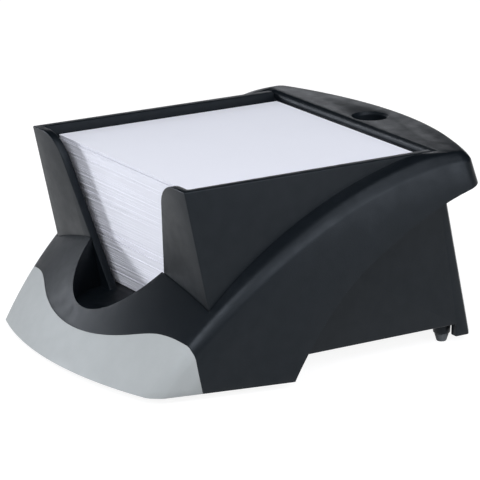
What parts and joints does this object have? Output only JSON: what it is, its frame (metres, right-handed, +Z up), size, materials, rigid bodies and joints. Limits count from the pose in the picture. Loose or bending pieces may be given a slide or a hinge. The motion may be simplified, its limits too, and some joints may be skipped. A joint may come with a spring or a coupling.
{
  "type": "memo box",
  "caption": "Desk memo box with an arched shell, a leaning tray of loose square notes, a finger scoop in the crowned front and a pen hole in the rear deck.",
  "frame": {"origin": "on the table, under the middle of the box's length and width", "axes": "+X to the box's right seen from the front, +Y to the rear, +Z up; the scoop and trim face -Y"},
  "size_m": [0.1232, 0.1534, 0.0708],
  "materials": {
    "charcoal_shell": "fine moulded texture",
    "charcoal_tray": "fine moulded texture",
    "grey_trim": "satin",
    "foot_rubber": "matt",
    "note_paper": "uncoated"
  },
  "bodies": {
    "base": {"outer_shell": "charcoal_shell", "note_tray": "charcoal_tray", "front_trim": "grey_trim", "foot_front_left": "foot_rubber", "foot_front_right": "foot_rubber", "foot_rear_left": "foot_rubber", "foot_rear_right": "foot_rubber"},
    "note_stack": {"note_pack_01": "note_paper", "note_pack_02": "note_paper", "note_pack_03": "note_paper", "note_pack_04": "note_paper", "note_pack_05": "note_paper", "note_pack_06": "note_paper", "note_pack_07": "note_paper", "note_pack_08": "note_paper", "note_pack_09": "note_paper", "note_pack_10": "note_paper"},
    "top_sheets": {"top_sheets": "note_paper"}
  },
  "joints": [
    {"name": "note_stack_lift", "type": "slide", "parent": "base", "child": "note_stack", "axis": [0, -0.2164, 0.9763], "range_m": [0, 0.058]},
    {"name": "top_sheets_lift", "type": "slide", "parent": "note_stack", "child": "top_sheets", "axis": [0, -0.2164, 0.9763], "range_m": [0, 0.03]}
  ]
}
